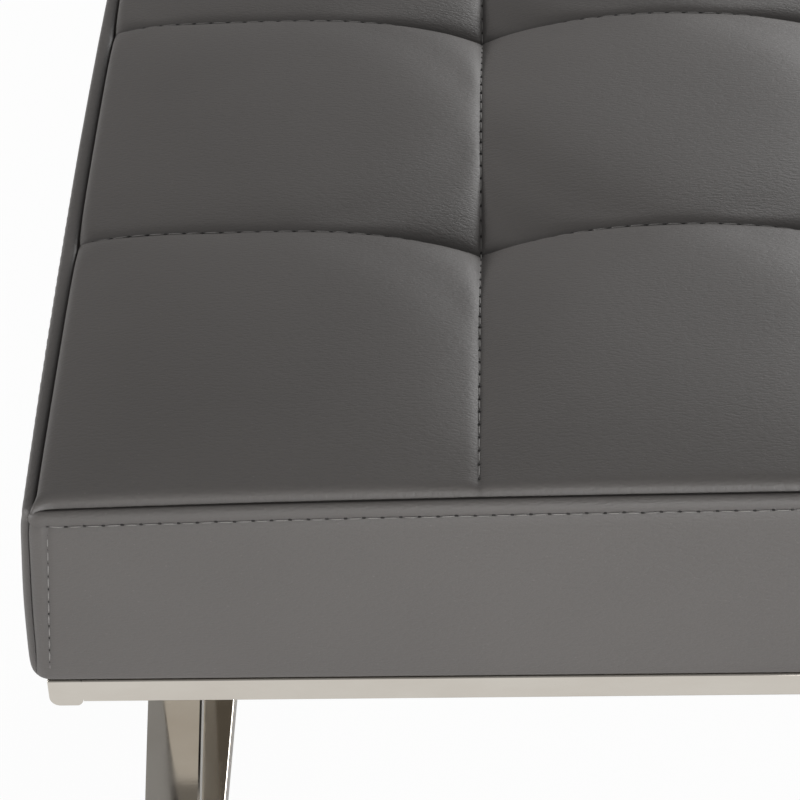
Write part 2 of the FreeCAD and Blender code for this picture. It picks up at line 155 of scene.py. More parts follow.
# How the filled cover has settled: drooping corners, and ends that bow out and lean out towards the base
CORNER_DROOP = 5.8
DROOP_REACH = 160
DROOP_HEIGHT = 85
END_BOW = 2.1
END_PROUD = 1.6
END_LEAN = 3.6
LEAN_HEIGHT = 80
END_REACH = 90

# Thread
THREAD_THICK = 0.6
THREAD_REACH = 0.44
HOLE_SIZE = 0.6
HOLE_STRETCH = 1.7
TOPSTITCH_PITCH = 7.3
STITCH_MARGIN = 4
HEM_MARGIN = 6
CORNER_STITCH_SINK = 0.55
BOXING_HOLE_SINK = 0.35
QUILT_PITCH = 8
QUILT_MARGIN = 5
QUILT_STITCH_RISE = 0.15
QUILT_HOLE_SINK = 0.1

# Foam slab, and the dust sheet that sags between the rails
FOAM_ROUND = 3
FOAM_ROUND_STEPS = 3
SHEET_STEPS_X = 104
SHEET_STEPS_Y = 52
SHEET_DROP = 0.15
SHEET_THICK = 0.5
SAG = 2.2
SAG_RUN = 120
SAG_CHANGE = 0.35
SAG_LUMP_SIZE = 90
SAG_SEED = 3


# Small helpers
def clamp(amount, low=0.0, high=1.0):
    return max(low, min(high, amount))


def blend(first, last, share):
    return first + (last - first) * share


def smooth(share):
    share = clamp(share)
    return share * share * (3 - 2 * share)


def bell(gap, width):
    """1 on a line and soon nothing beside it, for a mark of about this width."""
    return math.exp(-(gap / width) ** 2)


def ripple(x, y, z, size):
    """Smooth seeded noise between about -1 and 1, for lumps of this size in millimetres."""
    return noise.noise(Vector((x, y, z)) / size)


def new_object(name, bm, material):
    """Turn a bmesh in millimetres into a smooth object in metres."""
    bmesh.ops.scale(bm, vec=(MM, MM, MM), verts=bm.verts)
    mesh = bpy.data.meshes.new(name)
    bm.to_mesh(mesh)
    bm.free()
    mesh.materials.append(material)
    for face in mesh.polygons:
        face.use_smooth = True
    made = bpy.data.objects.new(name, mesh)
    bpy.context.scene.collection.objects.link(made)
    return made


def discard(piece):
    """Remove a piece that was only a trial, with its mesh."""
    mesh = piece.data
    bpy.data.objects.remove(piece)
    bpy.data.meshes.remove(mesh)


def subdivide(piece):
    """Soften a piece by one smooth subdivision."""
    modifier = piece.modifiers.new("soften", "SUBSURF")
    modifier.levels = 1
    modifier.render_levels = 1


def thicken(piece, thick):
    """Give a sheet its thickness inwards."""
    modifier = piece.modifiers.new("thickness", "SOLIDIFY")
    modifier.thickness = thick * MM
    modifier.offset = -1


# Places of the colour sockets on a Mix node, whose names are shared with its other sockets
MIX_FIRST = 6
MIX_LAST = 7
MIX_RESULT = 2


# Shader maths
class Value:
    """A socket of a finish, with arithmetic that adds Math nodes."""

    def __init__(self, finish, socket):
        self.finish = finish
        self.socket = socket

    def maths(self, operation, first, second):
        return self.finish.node("Math", {"operation": operation}, {0: first, 1: second})

    def __add__(self, other):
        return self.maths("ADD", self, other)

    def __radd__(self, other):
        return self.maths("ADD", other, self)

    def __rsub__(self, other):
        return self.maths("SUBTRACT", other, self)

    def __mul__(self, other):
        return self.maths("MULTIPLY", self, other)

    def above(self, edge, width):
        """0 below the edge and 1 above it, with a soft step of this width."""
        return self.finish.node(
            "MapRange",
            {"interpolation_type": "SMOOTHSTEP"},
            {"Value": self, "From Min": edge - width / 2, "From Max": edge + width / 2},
        )


class Finish:
    """A procedural material, or a world, built node by node round its one shader."""

    def __init__(self, name, library=bpy.data.materials, shader="Principled BSDF"):
        self.made = library.new(name)
        self.made.use_nodes = True
        self.tree = self.made.node_tree
        self.shader = self.tree.nodes[shader]

    def feed(self, socket, item):
        if isinstance(item, Value):
            self.tree.links.new(item.socket, socket)
        else:
            socket.default_value = item

    def node(self, kind, settings=None, sockets=None, output=0):
        """Add any node: its settings are set first, then the values or links of its sockets."""
        made = self.tree.nodes.new("ShaderNode" + kind)
        for name, setting in (settings or {}).items():
            setattr(made, name, setting)
        for name, item in (sockets or {}).items():
            self.feed(made.inputs[name], item)
        return Value(self, made.outputs[output])

    def surface(self, **sockets):
        """Set the shader's own sockets; an underscore stands for a space."""
        for name, item in sockets.items():
            self.feed(self.shader.inputs[name.replace("_", " ")], item)
        return self.made

    def place(self, source, scale):
        """Coordinates of the piece or of its own UV map, stretched by a scale in each direction."""
        start = self.node("TexCoord", output=source)
        return self.node("Mapping", None, {"Vector": start, "Scale": scale})

    def grain(self, source, scale, detail=3.0, roughness=0.5):
        """Noise between 0 and 1 with this many lumps a metre in each direction."""
        where = self.place(source, scale)
        sockets = {"Vector": where, "Scale": 1.0, "Detail": detail, "Roughness": roughness}
        return self.node("TexNoise", None, sockets)

    def cells(self, source, scale):
        """Distance to the nearest of many scattered points, this many a metre."""
        where = self.place(source, scale)
        return self.node("TexVoronoi", None, {"Vector": where, "Scale": 1.0})

    def tint(self, amount, first, last):
        """A colour between two others."""
        sockets = {"Factor": amount, MIX_FIRST: first, MIX_LAST: last}
        return self.node("Mix", {"data_type": "RGBA"}, sockets, MIX_RESULT)

    def bump(self, height, depth):
        """A normal from a height between 0 and 1, whose full depth is in millimetres."""
        return self.node("Bump", None, {"Height": height, "Strength": 1.0, "Distance": depth * MM})


OBJECT_SPACE = "Object"
UV_SPACE = "UV"


def rgb(red, green, blue):
    return (red, green, blue, 1.0)


def seat_leather():
    """Grey coated leathercloth: fine creases, pebbles, pale specks and soft painted shade in the seams."""
    finish = Finish("seat_leather")
    creases = finish.grain(UV_SPACE, (330, 950, 1), 4.0, 0.6)
    pebbles = finish.cells(UV_SPACE, (900, 1300, 1))
    broad = finish.grain(UV_SPACE, (7, 9, 1), 2.0)
    specks = 1 - finish.cells(UV_SPACE, (170, 210, 1)).above(0.07, 0.06)
    crease_lines = creases.above(0.47, 0.22)
    # Painted shade: this attribute darkens the leather in the seams, at the lip, in the corner seams and
    # along the topstitch
    seam_shade_amount = finish.node("Attribute", {"attribute_name": "painted_seam_shade"}, output="Fac")
    plain = finish.tint(broad.above(0.5, 0.7), rgb(0.094, 0.087, 0.083), rgb(0.108, 0.1, 0.095))
    worn = finish.tint((1 - crease_lines) * 0.13, plain, rgb(0.070, 0.066, 0.064))
    speckled = finish.tint(specks * 0.2, worn, rgb(0.20, 0.19, 0.18))
    shaded = finish.tint(seam_shade_amount, speckled, rgb(0.036, 0.033, 0.032))
    relief = crease_lines * 0.6 + pebbles * 0.4
    return finish.surface(
        Base_Color=shaded,
        Roughness=0.44 + creases * 0.14,
        Normal=finish.bump(relief, 0.085),
    )


def sewing_thread():
    """Light grey twisted thread."""
    finish = Finish("sewing_thread")
    twist = finish.grain(OBJECT_SPACE, (2600, 2600, 2600), 1.0)
    colour = finish.tint(twist, rgb(0.17, 0.163, 0.157), rgb(0.30, 0.29, 0.28))
    return finish.surface(
        Base_Color=colour,
        Roughness=0.55 + twist * 0.2,
        Normal=finish.bump(twist, 0.1),
    )


def needle_shadow():
    """The dark inside of a needle hole."""
    finish = Finish("needle_shadow")
    fray = finish.grain(OBJECT_SPACE, (1800, 1800, 1800), 1.0)
    colour = finish.tint(fray, rgb(0.012, 0.011, 0.010), rgb(0.030, 0.028, 0.027))
    return finish.surface(Base_Color=colour, Roughness=0.85)


def polished_steel():
    """Bright warm polished steel with faint smears and polishing lines."""
    finish = Finish("polished_steel")
    smears = finish.grain(OBJECT_SPACE, (18, 30, 45), 4.0, 0.6)
    lines = finish.grain(OBJECT_SPACE, (60, 900, 900), 2.0)
    colour = finish.tint(smears.above(0.5, 0.6), rgb(0.57, 0.53, 0.475), rgb(0.62, 0.585, 0.53))
    rough = 0.03 + smears.above(0.55, 0.3) * 0.05 + lines * 0.02
    return finish.surface(
        Base_Color=colour,
        Metallic=1.0,
        Roughness=rough,
        Normal=finish.bump(lines, 0.004),
    )


def zinc_steel():
    """Dull zinc plate with its mottled crystals."""
    finish = Finish("zinc_steel")
    spangle = finish.cells(OBJECT_SPACE, (700, 700, 700))
    colour = finish.tint(spangle, rgb(0.44, 0.45, 0.46), rgb(0.62, 0.63, 0.63))
    return finish.surface(Base_Color=colour, Metallic=1.0, Roughness=0.28 + spangle * 0.2)


def black_nylon():
    """Moulded black nylon with a fine spark-eroded texture."""
    finish = Finish("black_nylon")
    texture = finish.grain(OBJECT_SPACE, (1500, 1500, 1500), 2.0)
    colour = finish.tint(texture, rgb(0.012, 0.012, 0.013), rgb(0.026, 0.026, 0.027))
    return finish.surface(
        Base_Color=colour,
        Roughness=0.45 + texture * 0.15,
        Normal=finish.bump(texture, 0.06),
    )


def birch_plywood():
    """Pale plywood: long grain on its faces and thin darker plies at its edges."""
    finish = Finish("birch_plywood")
    figure = finish.grain(OBJECT_SPACE, (6, 110, 110), 4.0, 0.6)
    plies = finish.grain(OBJECT_SPACE, (2, 2, 420), 0.0)
    pale = finish.tint(figure, rgb(0.46, 0.32, 0.19), rgb(0.62, 0.46, 0.30))
    colour = finish.tint(plies.above(0.55, 0.1) * 0.4, pale, rgb(0.26, 0.17, 0.10))
    return finish.surface(
        Base_Color=colour,
        Roughness=0.6 + figure * 0.15,
        Normal=finish.bump(figure, 0.1),
    )


def seat_foam():
    """Cream seat foam with open cells."""
    finish = Finish("seat_foam")
    pores = finish.cells(OBJECT_SPACE, (800, 800, 800))
    colour = finish.tint(pores, rgb(0.42, 0.36, 0.24), rgb(0.68, 0.61, 0.44))
    return finish.surface(Base_Color=colour, Roughness=0.95, Normal=finish.bump(pores, 0.4))


def dust_cloth():
    """Black bonded cloth with pressed dots and stray fibres."""
    finish = Finish("dust_cloth")
    fibres = finish.grain(OBJECT_SPACE, (260, 900, 500), 4.0, 0.65)
    dots = finish.cells(OBJECT_SPACE, (500, 500, 1)).above(0.35, 0.2)
    colour = finish.tint(fibres * 0.7 + dots * 0.3, rgb(0.008, 0.008, 0.008), rgb(0.035, 0.035, 0.034))
    relief = dots * 0.5 + fibres * 0.5
    return finish.surface(Base_Color=colour, Roughness=0.85, Normal=finish.bump(relief, 0.15))


LEATHER = seat_leather()
THREAD = sewing_thread()
NEEDLE_SHADOW = needle_shadow()
STEEL = polished_steel()
ZINC = zinc_steel()
NYLON = black_nylon()
PLYWOOD = birch_plywood()
FOAM = seat_foam()
DUST_CLOTH = dust_cloth()


# Tufted top panel
SEAM_HALF_X = HALF_LENGTH - SEAM_INSET
SEAM_HALF_Y = HALF_DEPTH - SEAM_INSET
TILE_X = 2 * SEAM_HALF_X / COLUMNS
TILE_Y = 2 * SEAM_HALF_Y / ROWS


def crowded(share, count):
    """Even steps from 0 to 1 over a row of tiles, crowded towards the seams; returned in tiles."""
    tiles = share * count
    whole = min(int(tiles + ROUNDING_ROOM), count - 1)
    part = tiles - whole
    return whole + part - SEAM_CROWDING * math.sin(2 * math.pi * part) / (2 * math.pi)


def tuft_dip(across, along):
    """How far the nearest sewn crossing, or seam end at the edge, draws the cover down."""
    column, row = round(across), round(along)
    sideways = (2 * abs(across - column)) ** TUFT_POINTEDNESS
    lengthways = (2 * abs(along - row)) ** TUFT_POINTEDNESS
    away = (sideways + lengthways) ** (1 / TUFT_POINTEDNESS)
    inner_column, inner_row = 0 < column < COLUMNS, 0 < row < ROWS
    if inner_column and inner_row:
        deep, power = CROSSING_DIP, CROSSING_POWER
    elif inner_row:
        deep, power = ROW_END_DIP, SEAM_END_POWER
    else:
        deep, power = COLUMN_END_DIP, SEAM_END_POWER
    return deep * max(0, 1 - away) ** power


def cover_height(across, along):
    """The cover drawn over its filling before the pillows swell, at a place counted in tiles."""
    edge_gap = seam_distances(across, along)[2]
    return SEAM_LEVEL - tuft_dip(across, along) - EDGE_FALL * math.exp(-edge_gap / EDGE_FALL_REACH)


def droop(x, y, height):
    """How far the cover has settled near a corner of the seat, less towards the base."""
    gap = math.hypot(SEAM_HALF_X - abs(x), SEAM_HALF_Y - abs(y))
    return CORNER_DROOP * math.exp(-gap / DROOP_REACH) * smooth((height - SEAT_BASE) / DROOP_HEIGHT)


def place_of(across, along):
    """Place in millimetres of a point counted in tiles from the left and from the front."""
    return across * TILE_X - SEAM_HALF_X, along * TILE_Y - SEAM_HALF_Y


def tiles_at(point):
    """Place of a point in millimetres, counted in tiles from the left and from the front."""
    across = clamp((point.x + SEAM_HALF_X) / TILE_X, 0, COLUMNS)
    along = clamp((point.y + SEAM_HALF_Y) / TILE_Y, 0, ROWS)
    return across, along


def seam_distances(across, along):
    """Millimetres to the nearest inner column seam, inner row seam and outer seam."""
    column_gap = min(abs(across - column) for column in range(1, COLUMNS)) * TILE_X
    row_gap = min(abs(along - row) for row in range(1, ROWS)) * TILE_Y
    edge_gap = min(min(across, COLUMNS - across) * TILE_X, min(along, ROWS - along) * TILE_Y)
    return column_gap, row_gap, edge_gap


def flat_top():
    """A grid over the top panel, crowded at the seams, with its UV map in metres."""
    bm = bmesh.new()
    across_segments, along_segments = COLUMNS * TILE_SEGMENTS, ROWS * TILE_SEGMENTS
    bmesh.ops.create_grid(bm, x_segments=across_segments, y_segments=along_segments, size=1)
    uv = bm.loops.layers.uv.new("UVMap")
    for vert in bm.verts:
        across = crowded((vert.co.x + 1) / 2, COLUMNS)
        along = crowded((vert.co.y + 1) / 2, ROWS)
        vert.co = Vector((*place_of(across, along), cover_height(across, along)))
    for face in bm.faces:
        for loop in face.loops:
            loop[uv].uv = loop.vert.co.xy * MM
    return bm


def puffed_rise(bm):
    """Inflate a copy of the cover, sewn down along every seam, and return each point's rise."""
    trial_bm = bm.copy()
    trial = new_object("puff_trial", trial_bm, LEATHER)
    sewn = trial.vertex_groups.new(name="sewn")
    for index, vert in enumerate(bm.verts):
        across, along = tiles_at(vert.co)
        gap = min(seam_distances(across, along))
        if gap < SEWN_WITHIN:
            sewn.add([index], 1.0, "REPLACE")
    cloth = trial.modifiers.new("puff", "CLOTH")
    cloth.settings.vertex_group_mass = sewn.name
    cloth.settings.use_pressure = True
    cloth.settings.uniform_pressure_force = PRESSURE
    cloth.settings.effector_weights.gravity = 0
    cloth.settings.quality = PUFF_QUALITY
    cloth.point_cache.frame_end = PUFF_FRAMES
    scene = bpy.context.scene
    for step in range(1, PUFF_FRAMES + 1):
        scene.frame_set(step)
    shown = trial.evaluated_get(bpy.context.evaluated_depsgraph_get())
    rises = [
        after.co.z / MM - before.co.z
        for after, before in zip(shown.data.vertices, bm.verts)
    ]
    scene.frame_set(1)
    discard(trial)
    return rises


def spread_edge(point):
    """Carry the edge of the panel out to the cover's own outer seam."""
    for axis, half in ((0, SEAM_HALF_X), (1, SEAM_HALF_Y)):
        share = smooth(1 - (half - abs(point[axis])) / EDGE_SPREAD)
        point[axis] += math.copysign((SEAM_INSET - EDGE_INSET) * share, point[axis])


def round_corner(point):
    """Draw the square corners of the panel in to the radius of the sewn corner."""
    dx = abs(point.x) - (HALF_LENGTH - EDGE_INSET - PANEL_CORNER)
    dy = abs(point.y) - (HALF_DEPTH - EDGE_INSET - PANEL_CORNER)
    if dx > 0 and dy > 0:
        pull = max(dx, dy) / math.hypot(dx, dy) - 1
        point.x += math.copysign(dx * pull, point.x)
        point.y += math.copysign(dy * pull, point.y)


def along_seams(row_amount, column_amount, width, row_gap, column_gap):
    """One amount on the row seams and another on the column seams, which both fade out beside them."""
    return max(row_amount * bell(row_gap, width), column_amount * bell(column_gap, width))


def shape_top(bm, rises):
    """Add the pillows, the grooves along the seams, small puckers, the lip at the outer seam, and painted
    shade in the seams and at the lip.
    """
    painted_seam_shade = bm.verts.layers.float.new("painted_seam_shade")
    highest = max(rises)
    for vert, rise in zip(bm.verts, rises):
        across, along = tiles_at(vert.co)
        column_gap, row_gap, edge_gap = seam_distances(across, along)
        swell = 1 - (1 - clamp(rise / highest)) ** FOAM_FIRMNESS
        groove = along_seams(ROW_GROOVE, COLUMN_GROOVE, GROOVE_WIDTH, row_gap, column_gap)
        # Painted shade along the row and column seams
        seam_painted_shade = along_seams(ROW_PAINTED_SHADE, COLUMN_PAINTED_SHADE, SEAM_PAINTED_SHADE_WIDTH, row_gap, column_gap)
        near = math.exp(-min(column_gap, row_gap, edge_gap) / PUCKER_REACH)
        pucker = PUCKER_HEIGHT * near * ripple(vert.co.x, vert.co.y, PUCKER_SEED, PUCKER_SIZE)
        lumps = LUMP_HEIGHT * swell * ripple(vert.co.x, vert.co.y, LUMP_SEED, LUMP_SIZE)
        settled = (pucker + lumps - groove) * smooth(edge_gap / LIP_RADIUS)
        vert.co.z += (CROWN_HEIGHT - SEAM_LEVEL) * swell + settled
        if edge_gap < LIP_RADIUS:
            inside = LIP_RADIUS - edge_gap
            vert.co.z -= LIP_RADIUS - math.sqrt(LIP_RADIUS ** 2 - inside ** 2)
        # Painted shade at the lip of the outer seam, added to that along the seams
        vert[painted_seam_shade] = seam_painted_shade + LIP_PAINTED_SHADE * bell(edge_gap, LIP_PAINTED_SHADE_WIDTH)
        vert.co.z -= droop(vert.co.x, vert.co.y, vert.co.z)
        spread_edge(vert.co)
        round_corner(vert.co)


def softened(bm):
    """One smooth subdivision of a bmesh, applied."""
    trial = new_object("soften_trial", bm, LEATHER)
    subdivide(trial)
    mesh = bpy.data.meshes.new_from_object(trial.evaluated_get(bpy.context.evaluated_depsgraph_get()))
    discard(trial)
    smoother = bmesh.new()
    smoother.from_mesh(mesh)
    bpy.data.meshes.remove(mesh)
    bmesh.ops.scale(smoother, vec=(1 / MM, 1 / MM, 1 / MM), verts=smoother.verts)
    return smoother


def close_pad(bm):
    """Turn the edge of the panel down into the seam and close the pad underneath."""
    edges = [edge for edge in bm.edges if edge.is_boundary]
    for height, inset in ((PAD_BASE + SEAM_INSET, SEAM_TURN_IN), (PAD_BASE, PAD_TAPER)):
        made = bmesh.ops.extrude_edge_only(bm, edges=edges)["geom"]
        for vert in (item for item in made if isinstance(item, bmesh.types.BMVert)):
            vert.co.x -= math.copysign(inset, vert.co.x)
            vert.co.y -= math.copysign(inset, vert.co.y)
            vert.co.z = height
        edges = [item for item in made if isinstance(item, bmesh.types.BMEdge)]
        edges = [edge for edge in edges if edge.is_boundary]
    bmesh.ops.holes_fill(bm, edges=edges, sides=0)
    bmesh.ops.recalc_face_normals(bm, faces=bm.faces)


def make_top_panel():
    """The tufted cover with its filling, in place of the plain cover, pad and backing cloth."""
    bm = flat_top()
    shape_top(bm, puffed_rise(bm))
    bm = softened(bm)
    close_pad(bm)
    panel = new_object("tufted_top", bm, LEATHER)
    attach(panel, "root")
    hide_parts("top_cover", "tufted_pad", "quilt_backing")


# Boxing panels
SIDES = {"front": (0, True), "right": (90, False), "rear": (180, True), "left": (270, False)}


def panel_lengths(long_side):
    """Half the straight run of a panel, and how far out it stands."""
    halves = (HALF_LENGTH, HALF_DEPTH) if long_side else (HALF_DEPTH, HALF_LENGTH)
    return halves[0] - CORNER_RADIUS, halves[1]


# Each panel goes half way round its corners
HALF_CORNER = math.pi / 4
ARC_LENGTH = CORNER_RADIUS * HALF_CORNER


def outline_point(long_side, station, draw, height):
    """A point of a panel before it is turned to its side; its station runs from the middle of the panel."""
    straight, out = panel_lengths(long_side)
    radius = max(CORNER_RADIUS - draw, LEAST_RADIUS)
    extra = draw - (CORNER_RADIUS - radius)
    angle = clamp((abs(station) - straight) / ARC_LENGTH) * HALF_CORNER
    run = min(abs(station), straight) * (straight - extra) / straight + radius * math.sin(angle)
    reach = out - CORNER_RADIUS - extra + radius * math.cos(angle)
    return Vector((math.copysign(run, station), -reach, height))


def boxing_point(turn, long_side, station, draw, height):
    """A point of the boxing in its place on the bench, with the ends bowed out and the corners settled."""
    flat = outline_point(long_side, station, draw, height)
    point = Matrix.Rotation(math.radians(turn), 3, "Z") @ flat
    near_end = smooth((abs(point.x) - HALF_LENGTH + END_REACH) / END_REACH)
    proud = smooth((EDGE_INSET - draw) / STRIP_TURN) if height > STITCH_HEIGHT else 1
    lean = END_PROUD + END_LEAN * clamp((STITCH_HEIGHT - height) / LEAN_HEIGHT)
    bow = END_BOW * (1 - (point.y / HALF_DEPTH) ** 2)
    point.z -= droop(point.x, point.y, height)
    point.x += math.copysign((lean + bow) * near_end * proud, point.x)
    return point


def corner_stitch_offset(height):
    """How far a corner stitch is from the corner seam, a little further towards the top."""
    share = (height - SEAT_BASE) / (STITCH_HEIGHT - SEAT_BASE)
    return blend(CORNER_STITCH_LOW, CORNER_STITCH_HIGH, share)


def corner_sink(long_side, station, height):
    """How far a panel is drawn in by its corner seams and stitches, less so on the border strip."""
    straight, _ = panel_lengths(long_side)
    gap = straight + ARC_LENGTH - abs(station)
    sink = CORNER_SINK * bell(gap, CORNER_SINK_WIDTH)
    if height > STITCH_HEIGHT:
        return STRIP_SINK_SHARE * sink
    if long_side:
        sink += CORNER_STITCH_PULL * bell(gap - corner_stitch_offset(height), CORNER_STITCH_WIDTH)
    return sink


def corner_tuck(long_side, station, draw, height):
    """How much further in the border strip goes at a corner, to meet the round corner of the top panel."""
    if height <= STITCH_HEIGHT:
        return 0
    straight, _ = panel_lengths(long_side)
    round_share = smooth((abs(station) - straight) / ARC_LENGTH)
    return CORNER_TUCK * round_share * clamp((draw - STITCH_DRAW) / STRIP_TURN)


def boxing_stations(long_side):
    """Places along a panel, close together round its corners."""
    straight, _ = panel_lengths(long_side)
    end = straight + ARC_LENGTH
    corner = CORNER_STITCH_LOW + CORNER_STITCH_HIGH
    fine = [corner * (step / CORNER_STEPS) ** CORNER_CROWDING for step in range(CORNER_STEPS)]
    count = round(2 * (end - corner) / BOXING_STEP)
    even = [blend(corner - end, end - corner, step / count) for step in range(count + 1)]
    return [gap - end for gap in fine] + even + [end - gap for gap in reversed(fine)]


def stitch_pucker(turn, station, height):
    """Small ups and downs of the leather that the topstitch draws together."""
    stretched = height / STITCH_PUCKER_STRETCH
    return STITCH_PUCKER * ripple(station, stretched, turn + STITCH_PUCKER_SEED, STITCH_PUCKER_SIZE)


def profile_lengths():
    """Length of leather from the top seam to each row of the profile."""
    lengths = [0]
    for first, last in zip(BOXING_PROFILE, BOXING_PROFILE[1:]):
        lengths.append(lengths[-1] + math.dist(first, last))
    return lengths


def boxing_painted_shade(draw, height, sink):
    """How much painted shade darkens the leather in the outer seam, in the corner seams and along the
    topstitch.
    """
    in_seam = clamp((draw - STRIP_PAINTED_SHADE_START) / STRIP_PAINTED_SHADE_WIDTH) if height > STITCH_HEIGHT else 0
    in_corner = sink / CORNER_SINK * CORNER_PAINTED_SHADE
    at_stitch = STITCH_PAINTED_SHADE * math.exp(-abs(height - STITCH_HEIGHT))
    return BOXING_PAINTED_SHADE * clamp(in_seam + in_corner + at_stitch)


def boxing_grid(turn, long_side):
    """A grid drawn to the profile of one side, with its painted shade and a UV map in metres of its own
    leather.
    """
    stations = boxing_stations(long_side)
    lengths = profile_lengths()
    columns, rows = len(stations) - 1, len(lengths) - 1
    bm = bmesh.new()
    bmesh.ops.create_grid(bm, x_segments=columns, y_segments=rows, size=1)
    uv = bm.loops.layers.uv.new("UVMap")
    painted_seam_shade = bm.verts.layers.float.new("painted_seam_shade")
    for vert in bm.verts:
        station = stations[round((vert.co.x + 1) / 2 * columns)]
        row = round((1 - vert.co.y) / 2 * rows)
        draw, height = BOXING_PROFILE[row]
        for loop in vert.link_loops:
            loop[uv].uv = (station * MM, -lengths[row] * MM + turn)
        on_side = smooth((height - SEAT_BASE - HEM_CLEAR) / HEM_FADE)
        near_stitch = math.exp(-abs(height - STITCH_HEIGHT) / STITCH_PUCKER_REACH)
        wave = WAVE_DEPTH * ripple(station, height, turn, WAVE_SIZE) * on_side * (1 - near_stitch)
        pucker = near_stitch * stitch_pucker(turn, station, height) if draw < STRIP_FOLD else 0
        sink = corner_sink(long_side, station, height) * on_side
        inward = draw + sink - wave + corner_tuck(long_side, station, draw, height)
        vert.co = boxing_point(turn, long_side, station, inward, height + pucker)
        # Painted shade in the outer seam, in the corner seams and along the topstitch
        vert[painted_seam_shade] = boxing_painted_shade(draw, height, sink)
    return bm


def face_outwards(bm):
    """Turn the faces of a side panel so that they look away from the middle of the seat."""
    bmesh.ops.recalc_face_normals(bm, faces=bm.faces)
    middle = Vector((0, 0, SEAT_BASE))
    outermost = max(bm.faces, key=lambda face: face.calc_center_median().xy.length)
    if outermost.normal.dot(outermost.calc_center_median() - middle) < 0:
        bmesh.ops.reverse_faces(bm, faces=bm.faces)


def make_boxing(name, turn, long_side):
    """One side of the cover, from the outer seam over the border strip and down to its hem."""
    bm = boxing_grid(turn, long_side)
    face_outwards(bm)
    panel = new_object(name + "_side_panel", bm, LEATHER)
    thicken(panel, BOXING_THICK)
    subdivide(panel)
    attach(panel, "root")
    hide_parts(name + "_boxing")


# Stitching
def add_thread(bm, start, end):
    """One stitch between two needle holes."""
    way = end - start
    size = Vector((THREAD_THICK / 2, THREAD_THICK / 2, way.length * THREAD_REACH))
    place = Matrix.LocRotScale((start + end) / 2, way.to_track_quat("Z", "Y"), size)
    bmesh.ops.create_icosphere(bm, subdivisions=1, radius=1, matrix=place)


def add_hole(bm, centre, way):
    """The dark dimple where the needle went through, a small body whose dark finish is painted shadow."""
    size = Vector((HOLE_SIZE, HOLE_SIZE, HOLE_SIZE * HOLE_STRETCH))
    place = Matrix.LocRotScale(centre, way.to_track_quat("Z", "Y"), size)
    bmesh.ops.create_icosphere(bm, subdivisions=1, radius=1, matrix=place)


def sew(name, stitch_lines, hole_sink):
    """Threads along lines of needle places, and the needle holes sunk into the leather under them as small
    dark bodies of painted shadow.
    """
    threads = bmesh.new()
    holes = bmesh.new()
    for line in stitch_lines(0):
        for start, end in zip(line, line[1:]):
            add_thread(threads, start, end)
    for line in stitch_lines(hole_sink):
        for start, end in zip(line, line[1:]):
            add_hole(holes, start, end - start)
    for made in (
        new_object(name + "_thread", threads, THREAD),
        new_object(name + "_needle_holes", holes, NEEDLE_SHADOW),
    ):
        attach(made, "root")


def even_steps(start, end, pitch):
    """Places from start to end, as near to this pitch as an even spacing allows."""
    count = max(1, round(abs(end - start) / pitch))
    return [blend(start, end, step / count) for step in range(count + 1)]


def border_stitches(sunk):
    """Topstitch along the border strip of every side, between the corner stitches on the long ones."""
    lines = []
    for turn, long_side in SIDES.values():
        margin = CORNER_STITCH_HIGH if long_side else STITCH_MARGIN
        end = panel_lengths(long_side)[0] + ARC_LENGTH - margin
        line = []
        for station in even_steps(-end, end, TOPSTITCH_PITCH):
            draw = STITCH_DRAW + corner_sink(long_side, station, STITCH_HEIGHT) + sunk
            height = STITCH_HEIGHT + stitch_pucker(turn, station, STITCH_HEIGHT)
            line.append(boxing_point(turn, long_side, station, draw, height))
        lines.append(line)
    return lines


def profile_draw(height):
    """How far in the side of the boxing is at a height below the topstitch."""
    for (draw, upper), (next_draw, lower) in zip(BOXING_PROFILE, BOXING_PROFILE[1:]):
        if lower <= height <= upper:
            return blend(next_draw, draw, (height - lower) / (upper - lower))
    return 0


def corner_stitches(sunk):
    """Topstitch down the long panels beside each corner seam."""
    lines = []
    end = panel_lengths(True)[0] + ARC_LENGTH
    heights = even_steps(STITCH_HEIGHT - STITCH_MARGIN, SEAT_BASE + HEM_MARGIN, TOPSTITCH_PITCH)
    long_turns = [turn for turn, long_side in SIDES.values() if long_side]
    for turn in long_turns:
        for side in (-1, 1):
            line = []
            for height in heights:
                draw = profile_draw(height) + CORNER_STITCH_SINK + sunk
                station = side * (end - corner_stitch_offset(height))
                line.append(boxing_point(turn, True, station, draw, height))
            lines.append(line)
    return lines


def quilt_needle(across, along, groove, sunk):
    """A needle place in the bottom of a groove of this depth, at a place counted in tiles."""
    x, y = place_of(across, along)
    height = cover_height(across, along) - groove + QUILT_STITCH_RISE - sunk
    return Vector((x, y, height - droop(x, y, height)))


def quilt_stitches(sunk):
    """Stitches along every inner row and column seam of the top."""
    lines = []
    margin = QUILT_MARGIN / TILE_X
    across_steps = even_steps(margin, COLUMNS - margin, QUILT_PITCH / TILE_X)
    along_steps = even_steps(margin, ROWS - margin, QUILT_PITCH / TILE_Y)
    for row in range(1, ROWS):
        lines.append([quilt_needle(across, row, ROW_GROOVE, sunk) for across in across_steps])
    for column in range(1, COLUMNS):
        lines.append([quilt_needle(column, along, COLUMN_GROOVE, sunk) for along in along_steps])
    return lines


# Hidden filling and the cloth under the seat
def make_foam_slab():
    """The block of foam on the seat board, with eased edges."""
    low, high = (corner / MM for corner in map(Vector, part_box("foam_core")))
    bm = bmesh.new()
    bmesh.ops.create_cube(bm, size=1)
    bmesh.ops.scale(bm, vec=high - low, verts=bm.verts)
    bmesh.ops.translate(bm, vec=(low + high) / 2, verts=bm.verts)
    bmesh.ops.bevel(
        bm,
        geom=bm.edges[:],
        offset=FOAM_ROUND,
        segments=FOAM_ROUND_STEPS,
        profile=0.5,
        affect="EDGES",
        material=-1,
    )
    slab = new_object("foam_slab", bm, FOAM)
    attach(slab, "root")
    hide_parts("foam_core")


